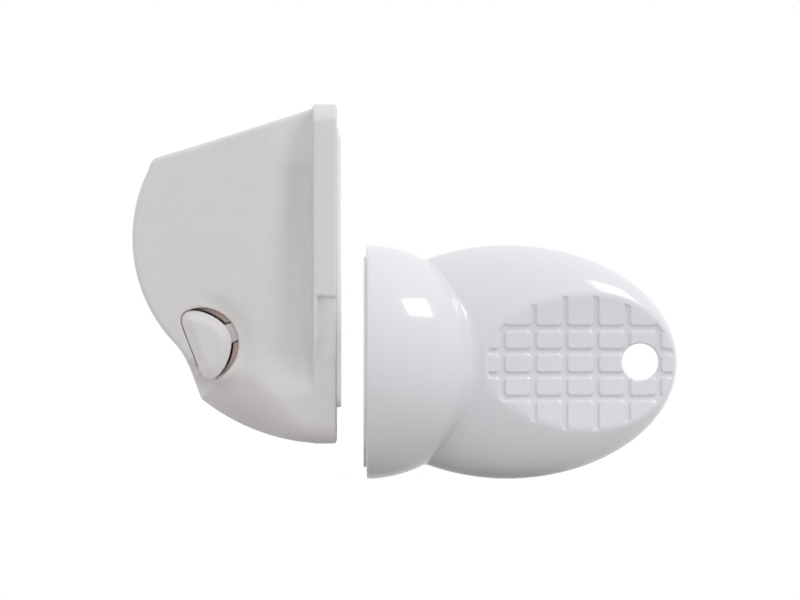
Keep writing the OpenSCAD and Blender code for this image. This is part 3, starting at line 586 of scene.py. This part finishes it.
SCOOP_START = (31.78, -12.8)
SCOOP_TILT, SCOOP_R, SCOOP_EDGE = math.radians(14.5), 75.0, 0.45
GROOVE_MID, GROOVE_Z, GROOVE_OVAL = 52.0, -19.4, (20.3, 14.6)
GROOVE_PITCH, ROW_PITCH = 6.8, 5.07
GROOVE_X = [GROOVE_MID + (i + 0.5) * GROOVE_PITCH for i in range(-3, 3)]
GROOVE_ROWS = [GROOVE_Z + (i + 0.5) * ROW_PITCH for i in range(-2, 2)]
GROOVE_W, GROOVE_DEPTH, GROOVE_CORNER, GROOVE_FOOT, GROOVE_EDGE = 1.15, 0.5, 0.8, 0.25, 0.3
CREASE, CREASE_SOFT, CREASE_Y = 0.3, 1.5, (9.6, 12.6)
FACE_EDGE, HANG_EDGE_R, SEAM_EDGE = 0.5, 0.35, 0.22
FACE_CAP_R, FIT = 19.8, 0.05
ROOM_BACK, ROOM_HALF, ROOM_HALF_T = 7.38, (9.45, 15.24), 4.6
DOWEL_BEHIND, DOWEL_X, DOWEL_OFF = 2.88, 42.0, 15.24
DOWELS = [(FACE_X + FACE_CAP_T + CUP_LEN + DOWEL_BEHIND, KEY_Z), (DOWEL_X, KEY_Z + DOWEL_OFF),
          (DOWEL_X, KEY_Z - DOWEL_OFF)]
DOWEL_R, DOWEL_HALF, SOCKET_R, SOCKET_HALF, DOWEL_EDGE = 1.8, 4.9, 1.85, 5.3, 0.3


def egg(x, y, z, a, b, c):
    """Close distance to an ellipsoid with half axes a, b and c."""
    k0 = np.sqrt((x / a) ** 2 + (y / b) ** 2 + (z / c) ** 2)
    k1 = np.sqrt((x / a ** 2) ** 2 + (y / b ** 2) ** 2 + (z / c ** 2) ** 2)
    return k0 * (k0 - 1) / np.maximum(k1, 1e-6)


def thumb_rest(g, y):
    """The hollow of the thumb rest, and the grooves below its surface."""
    dx, dy = g.x - SCOOP_START[0], y - SCOOP_START[1]
    along = dx * math.cos(SCOOP_TILT) + dy * math.sin(SCOOP_TILT)
    out = -dx * math.sin(SCOOP_TILT) + dy * math.cos(SCOOP_TILT)
    roller = np.hypot(out + SCOOP_R, g.z - KEY_Z) - SCOOP_R
    oval = egg(g.x - GROOVE_MID, 0 * g.z, g.z - GROOVE_Z, GROOVE_OVAL[0], 1.0, GROOVE_OVAL[1])
    across = np.minimum.reduce([np.abs(g.x - x) for x in GROOVE_X]) - GROOVE_W / 2
    rows = np.minimum.reduce([np.abs(g.z - z) for z in GROOVE_ROWS]) - GROOVE_W / 2
    bars = joined(np.broadcast_to(across, oval.shape), np.broadcast_to(rows, oval.shape), GROOVE_CORNER)
    grooves = inside_both(np.maximum(bars, oval), roller - GROOVE_DEPTH, GROOVE_FOOT)
    return np.maximum(roller, -along), grooves


def key_half(g, y):
    """The key's half at negative y: dome, grip, thumb rest and hollows."""
    z = g.z - KEY_Z
    dome = egg(g.x - FACE_X, y, z, DOME_LEN, KEY_R, KEY_R)
    grip = egg(g.x - GRIP_X, y, z, GRIP_HALF_LEN, GRIP_HALF_T, KEY_R)
    key = blended(dome, grip, CREASE + CREASE_SOFT * ramp(np.abs(y), *CREASE_Y))
    key = inside_both(key, FACE_X - g.x, FACE_EDGE)
    hollow, grooves = thumb_rest(g, y)
    key = cut(key, hollow, SCOOP_EDGE)
    key = cut(key, grooves, GROOVE_EDGE)
    hole = np.hypot(g.x - HANG_X, z) - HANG_R
    key = cut(key, np.broadcast_to(hole, key.shape), HANG_EDGE_R)
    radial = np.hypot(y, z)
    recess = np.maximum(radial - FACE_CAP_R - FIT, g.x - FACE_X - FACE_CAP_T)
    well = np.maximum(radial - CUP_OUT - FIT, g.x - FACE_X - FACE_CAP_T - CUP_LEN - FIT)
    room = egg(g.x - GRIP_X + ROOM_BACK, 0 * y, z, ROOM_HALF[0], 1.0, ROOM_HALF[1])
    room = np.maximum(room, np.abs(y) - ROOM_HALF_T)
    key = cut(cut(cut(key, recess), well), room)
    return inside_both(key, np.broadcast_to(y, key.shape), SEAM_EDGE)


def dowels(g, r, reach):
    """The pins that join the key's halves, or the sockets that they fit."""
    return np.minimum.reduce([bar(g.x - x, g.z - z, r, g.y, -reach, reach, DOWEL_EDGE) for x, z in DOWELS])


# Flat pads

def rounded_outline(w, h, r, steps=10):
    """Corner arcs of a rounded rectangle in the YZ plane."""
    centres = [(w / 2 - r, h / 2 - r, 0), (r - w / 2, h / 2 - r, 90),
               (r - w / 2, r - h / 2, 180), (w / 2 - r, r - h / 2, 270)]
    return np.concatenate([arc((y, z), r, a, a + 90, steps) for y, z, a in centres])


def pad(name, line, z, x_from, x_to, edge, body, material, node):
    """A die-cut foam pad: flat faces, soft edges and a cut side that bulges a little."""
    middle = (x_from + x_to) / 2
    half = (x_to - x_from) / 2
    centre = line.mean(0)
    rings = []
    for a in np.radians(np.linspace(-90, 90, 13)):
        draw = edge * (1 - math.cos(a))
        x = middle + half * math.sin(a)
        outward = line - centre
        outward = outward / np.linalg.norm(outward, axis=1, keepdims=True)
        rings.append(np.column_stack([np.full(len(line), x), line - outward * draw]))
    n = len(line)
    points = np.concatenate(rings) + [0, 0, z]
    faces = [(k * n + i, k * n + (i + 1) % n, (k + 1) * n + (i + 1) % n, (k + 1) * n + i)
             for k in range(len(rings) - 1) for i in range(n)]
    faces += [tuple(range(n))[::-1], tuple(range((len(rings) - 1) * n, len(rings) * n))]
    mesh = bpy.data.meshes.new(name)
    mesh.from_pydata((points * MM).tolist(), [], faces)
    mesh.validate()
    for face in mesh.polygons:
        face.use_smooth = len(face.vertices) == 4
    mesh.materials.append(material)
    piece = bpy.data.objects.new(name, mesh)
    bpy.context.scene.collection.objects.link(piece)
    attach(piece, body)
    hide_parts(node)
    return piece


# Materials

GLOSS_SPREAD, COAT_ROUGH = 0.15, 0.06


def linear(r, g, b):
    """A colour as a screen shows it, from 0 to 255, in the render's own units."""
    return tuple(((c / 255 + 0.055) / 1.055) ** 2.4 if c > 10 else c / 3294.6 for c in (r, g, b)) + (1.0,)


def moulded(name, colour, rough, tone=0.03, grain=5200.0, depth=0.02, patch=260.0, metal=0.0, coat=0.0,
            brushed=None):
    """A procedural material: a soft change of tone, fine surface grain in its bump, and uneven gloss."""
    mat = bpy.data.materials.new(name)
    mat.use_nodes = True
    tree = mat.node_tree
    shader = tree.nodes["Principled BSDF"]
    place = tree.nodes.new("ShaderNodeTexCoord")
    source = place.outputs["Object"]
    if brushed:
        stretch = tree.nodes.new("ShaderNodeMapping")
        stretch.inputs["Scale"].default_value = brushed
        tree.links.new(source, stretch.inputs["Vector"])
        source = stretch.outputs["Vector"]

    def noise(scale, detail):
        node = tree.nodes.new("ShaderNodeTexNoise")
        node.inputs["Scale"].default_value = scale
        node.inputs["Detail"].default_value = detail
        tree.links.new(source, node.inputs["Vector"])
        return node.outputs["Fac"]

    broad, fine = noise(patch, 3), noise(grain, 2)
    shade = tree.nodes.new("ShaderNodeMix")
    shade.data_type = "RGBA"
    shade.inputs["A"].default_value = [c * (1 - tone) for c in colour[:3]] + [1]
    shade.inputs["B"].default_value = [min(c * (1 + tone), 1) for c in colour[:3]] + [1]
    tree.links.new(broad, shade.inputs["Factor"])
    tree.links.new(shade.outputs["Result"], shader.inputs["Base Color"])
    gloss = tree.nodes.new("ShaderNodeMapRange")
    gloss.inputs["To Min"].default_value = rough * (1 - GLOSS_SPREAD)
    gloss.inputs["To Max"].default_value = rough * (1 + GLOSS_SPREAD)
    tree.links.new(broad, gloss.inputs["Value"])
    tree.links.new(gloss.outputs["Result"], shader.inputs["Roughness"])
    bump = tree.nodes.new("ShaderNodeBump")
    bump.inputs["Strength"].default_value = 1.0
    bump.inputs["Distance"].default_value = depth * MM
    tree.links.new(fine, bump.inputs["Height"])
    tree.links.new(bump.outputs["Normal"], shader.inputs["Normal"])
    shader.inputs["Metallic"].default_value = metal
    shader.inputs["Coat Weight"].default_value = coat
    shader.inputs["Coat Roughness"].default_value = COAT_ROUGH
    return mat


case_plastic = moulded("case_plastic", linear(219, 217, 218), 0.42, depth=0.012)
key_plastic = moulded("key_plastic", linear(224, 223, 229), 0.16, tone=0.012, grain=700.0, depth=0.006,
                      coat=0.35)
# A darker warm brown for the case's deep inside faces: painted shade in its hollows and the gaps round the
# button, not a colour the plastic has
inside_painted_shade = moulded("inside_painted_shade", linear(182, 163, 153), 0.5, depth=0.012)
pad_foam = moulded("pad_foam", linear(250, 251, 252), 0.8, tone=0.01, grain=3600.0, depth=0.02)
steel_mat = moulded("steel", linear(176, 178, 182), 0.32, grain=900.0, depth=0.01, metal=1.0,
                    brushed=(1, 1, 9))
nickel = moulded("magnet", linear(160, 162, 166), 0.22, grain=1500.0, depth=0.005, metal=1.0)

CARRIED = {
    "mounting_plate": case_plastic, "latch_lever": case_plastic, "magnet_cap": case_plastic,
    "case_screws": steel_mat, "pivot_pin": steel_mat, "pin_clip": steel_mat, "lever_spring": steel_mat,
    "button_pin": steel_mat, "button_spring": steel_mat, "magnet_cup": steel_mat,
    "lever_magnet": nickel, "key_magnet": nickel, "magnet_sleeve": pad_foam, "face_cap": key_plastic,
}
for node, finish in CARRIED.items():
    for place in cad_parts[node].material_slots:
        place.material = finish

# The pieces

# Boxes that hold each skin with a little room, and the grid's step in each
LOCK_BOX, LOCK_STEP = ((-46.0, -19.3, -37.4), (0.0, 19.3, 37.4)), 0.35
BUTTON_BOX, BUTTON_STEP = ((-36.5, -18.0, -24.5), (-19.5, -9.6, -8.0)), 0.2
FRONT_BOX = ((4.6, -26.0, -45.2), (73.8, 6.0, 7.0))
BACK_BOX, KEY_STEP = ((4.6, -0.6, -45.2), (73.8, 26.0, 7.0)), 0.3
PAD_CORNER, PAD_BULGE = 2.8, 0.15
FACE_PAD_SHARE, FACE_PAD_BULGE = 0.9, 0.12

lock_grid = Grid(*LOCK_BOX, LOCK_STEP)
hole_rim = outline_field(*flap_axes(lock_grid), HOLE_LINE)
outer_case = lock_case(lock_grid, hole_rim)
housing = skin("lock_housing_skin", lock_field(lock_grid, outer_case, hole_rim), lock_grid,
               "lock", "case_plastic", case_plastic, "lock_housing")
# The case's deep inside faces take the painted shade colour
paint_shade_inside(housing, outer_case, lock_grid, inside_painted_shade)
button_grid = Grid(*BUTTON_BOX, BUTTON_STEP)
skin("release_button_skin", button_field(button_grid), button_grid, "button", "case_plastic", case_plastic,
     "release_button")

front_grid = Grid(*FRONT_BOX, KEY_STEP)
front = np.minimum(key_half(front_grid, front_grid.y), dowels(front_grid, DOWEL_R, DOWEL_HALF))
skin("key_front_skin", front, front_grid, "key", "key_plastic", key_plastic, "key_front_shell")
back_grid = Grid(*BACK_BOX, KEY_STEP)
back = cut(key_half(back_grid, -back_grid.y), dowels(back_grid, SOCKET_R, SOCKET_HALF))
skin("key_back_skin", back, back_grid, "key", "key_plastic", key_plastic, "key_back_shell")

pad_line = rounded_outline(PAD_HIGH[1] - PAD_LOW[1], PAD_HIGH[2] - PAD_LOW[2], PAD_CORNER)
pad("adhesive_pad_foam", pad_line, (PAD_HIGH[2] + PAD_LOW[2]) / 2, PAD_LOW[0], PAD_HIGH[0], PAD_BULGE,
    "lock", pad_foam, "adhesive_pad")
face_line = arc((0, 0), KEY_R * FACE_PAD_SHARE, 0, 360, 160)[:-1]
pad("face_pad_foam", face_line, KEY_Z, KEY_GAP, FACE_X, FACE_PAD_BULGE,
    "key", pad_foam, "face_pad")

# Stage, light and camera

FLOOR_GAP, FLOOR_SIZE = 0.05 * MM, 3.0
FLOOR_Z = cad_bounds[0][2] - FLOOR_GAP
WHITE = (1.0, 1.0, 1.0, 1.0)
# The floor as it lights the object, and as the camera sees it: a grey with its own glow
FLOOR_LIT, FLOOR_SEEN, FLOOR_GLOW = (0.53, 0.51, 0.49, 1), (0.35, 0.35, 0.35, 1), 0.78
WORLD_BELOW, WORLD_ABOVE = 1.60, 0.76
KEY_TOWARD, KEY_DISTANCE, KEY_SIZE = (0.626, -0.241, 0.742), 1.2, (0.48, 0.35)
KEY_ROLL, KEY_WATTS = -20, 3.2
PIXELS_PER_MM, PICTURE_W = 4.6, 800
VIEW_X, VIEW_Z = 12.83, -5.65
LENS, SENSOR, SEEN_TO = 1200.0, 36.0, 20


def seen_directly(tree):
    """1 for rays from the camera, a reflection or a transparent surface, and 0 for rays that carry light."""
    path = tree.nodes.new("ShaderNodeLightPath")
    total = path.outputs["Is Camera Ray"]
    for name in ("Is Glossy Ray", "Is Transmission Ray"):
        add = tree.nodes.new("ShaderNodeMath")
        add.operation = "MAXIMUM"
        tree.links.new(total, add.inputs[0])
        tree.links.new(path.outputs[name], add.inputs[1])
        total = add.outputs[0]
    return total


def floor_material():
    """Shows the camera a pale floor with the object's shadow, and gives the object a plain bounce."""
    mat = bpy.data.materials.new("floor")
    mat.use_nodes = True
    tree = mat.node_tree
    tree.nodes.remove(tree.nodes["Principled BSDF"])
    lit, seen, glow = (tree.nodes.new(k) for k in ("ShaderNodeBsdfDiffuse", "ShaderNodeBsdfDiffuse",
                                                   "ShaderNodeEmission"))
    lit.inputs["Color"].default_value = FLOOR_LIT
    seen.inputs["Color"].default_value = FLOOR_SEEN
    glow.inputs["Strength"].default_value = FLOOR_GLOW
    add, mix = tree.nodes.new("ShaderNodeAddShader"), tree.nodes.new("ShaderNodeMixShader")
    tree.links.new(seen.outputs[0], add.inputs[0])
    tree.links.new(glow.outputs[0], add.inputs[1])
    tree.links.new(seen_directly(tree), mix.inputs[0])
    tree.links.new(lit.outputs[0], mix.inputs[1])
    tree.links.new(add.outputs[0], mix.inputs[2])
    tree.links.new(mix.outputs[0], tree.nodes["Material Output"].inputs["Surface"])
    return mat


def make_floor():
    """A plain floor just under the object."""
    mesh = bpy.data.meshes.new("floor")
    half = FLOOR_SIZE / 2
    corners = [(x * half, y * half, FLOOR_Z) for x, y in ((-1, -1), (1, -1), (1, 1), (-1, 1))]
    mesh.from_pydata(corners, [], [(0, 1, 2, 3)])
    mesh.materials.append(floor_material())
    floor = bpy.data.objects.new("floor", mesh)
    bpy.context.scene.collection.objects.link(floor)


def make_world():
    """Even light that falls from straight below to straight above, behind a white that only shows."""
    world = bpy.data.worlds.new("studio")
    bpy.context.scene.world = world
    world.use_nodes = True
    tree = world.node_tree
    light = tree.nodes["Background"]
    light.inputs["Color"].default_value = WHITE
    place = tree.nodes.new("ShaderNodeTexCoord")
    parts = tree.nodes.new("ShaderNodeSeparateXYZ")
    fall = tree.nodes.new("ShaderNodeMapRange")
    fall.inputs["From Min"].default_value = -1.0
    fall.inputs["To Min"].default_value = WORLD_BELOW
    fall.inputs["To Max"].default_value = WORLD_ABOVE
    tree.links.new(place.outputs["Generated"], parts.inputs[0])
    tree.links.new(parts.outputs["Z"], fall.inputs["Value"])
    tree.links.new(fall.outputs["Result"], light.inputs["Strength"])
    shown = tree.nodes.new("ShaderNodeBackground")
    shown.inputs["Color"].default_value = WHITE
    shown.inputs["Strength"].default_value = 1.0
    mix = tree.nodes.new("ShaderNodeMixShader")
    tree.links.new(seen_directly(tree), mix.inputs[0])
    tree.links.new(light.outputs[0], mix.inputs[1])
    tree.links.new(shown.outputs[0], mix.inputs[2])
    tree.links.new(mix.outputs[0], tree.nodes["World Output"].inputs["Surface"])


def softbox(name, toward, distance, size, roll, watts, target=(20, 0, -15)):
    """A rectangular lamp in the given direction from the object, rolled about that direction."""
    lamp = bpy.data.lights.new(name, "AREA")
    lamp.shape = "RECTANGLE"
    lamp.size, lamp.size_y = size
    lamp.energy = watts
    holder = bpy.data.objects.new(name, lamp)
    way = Vector(toward).normalized()
    holder.location = Vector(target) * MM + way * distance
    turn = way.to_track_quat("Z", "Y") @ Quaternion((0, 0, 1), math.radians(roll))
    holder.rotation_euler = turn.to_euler()
    bpy.context.scene.collection.objects.link(holder)


def make_camera():
    """Level view along +Y at the photograph's scale."""
    camera = bpy.data.cameras.new("camera")
    camera.lens, camera.sensor_width = LENS, SENSOR
    width = PICTURE_W / PIXELS_PER_MM * MM
    holder = bpy.data.objects.new("camera", camera)
    holder.location = (VIEW_X * MM, -width * LENS / SENSOR, VIEW_Z * MM)
    holder.rotation_euler = (math.pi / 2, 0, 0)
    camera.clip_end = SEEN_TO
    bpy.context.scene.collection.objects.link(holder)
    bpy.context.scene.camera = holder


make_floor()
make_world()
softbox("key_light", KEY_TOWARD, KEY_DISTANCE, KEY_SIZE, KEY_ROLL, KEY_WATTS)
make_camera()

view = bpy.context.scene.view_settings
view.view_transform = "Standard"
